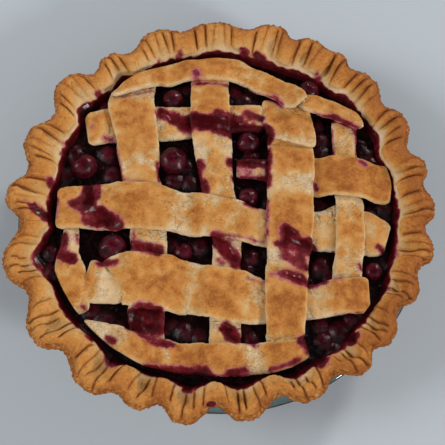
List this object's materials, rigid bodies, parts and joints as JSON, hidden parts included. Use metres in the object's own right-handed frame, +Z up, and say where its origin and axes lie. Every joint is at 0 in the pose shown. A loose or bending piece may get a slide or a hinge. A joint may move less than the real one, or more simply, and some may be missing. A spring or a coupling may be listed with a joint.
{
  "type": "cherry pie",
  "caption": "Baked cherry pie with a pinched pastry edge and a woven strip top over dark glossy cherry filling, in its own round clear glass pie dish.",
  "frame": {"origin": "middle of the dish's flat base, on the surface that the dish stands on", "axes": "+X to the pie's right, +Y to its back, +Z up out of the dish"},
  "size_m": [0.2567, 0.2579, 0.0498],
  "materials": {
    "glass": "clear polished, faintly green",
    "crust": "baked pastry, matt",
    "strips": "baked pastry, golden, matt",
    "filling": "set cherry juice, glossy",
    "cherries": "cooked cherry, glossy"
  },
  "bodies": {
    "root": {"dish": "glass", "pastry_shell": "crust", "filling": "filling", "back_arc_strip": "strips", "back_end_strip": "strips", "cross_strip_1": "strips", "cross_strip_2": "strips", "cross_strip_3": "strips", "cross_strip_4": "strips", "front_arc_strip": "strips", "left_end_strip": "strips", "long_strip_1": "strips", "long_strip_2": "strips", "long_strip_3": "strips", "long_strip_3_patch": "strips", "long_strip_4": "strips", "cherry_1": "cherries", "cherry_2": "cherries", "cherry_3": "cherries", "cherry_4": "cherries", "cherry_5": "cherries", "cherry_6": "cherries", "cherry_7": "cherries", "cherry_8": "cherries", "cherry_9": "cherries"}
  },
  "joints": []
}
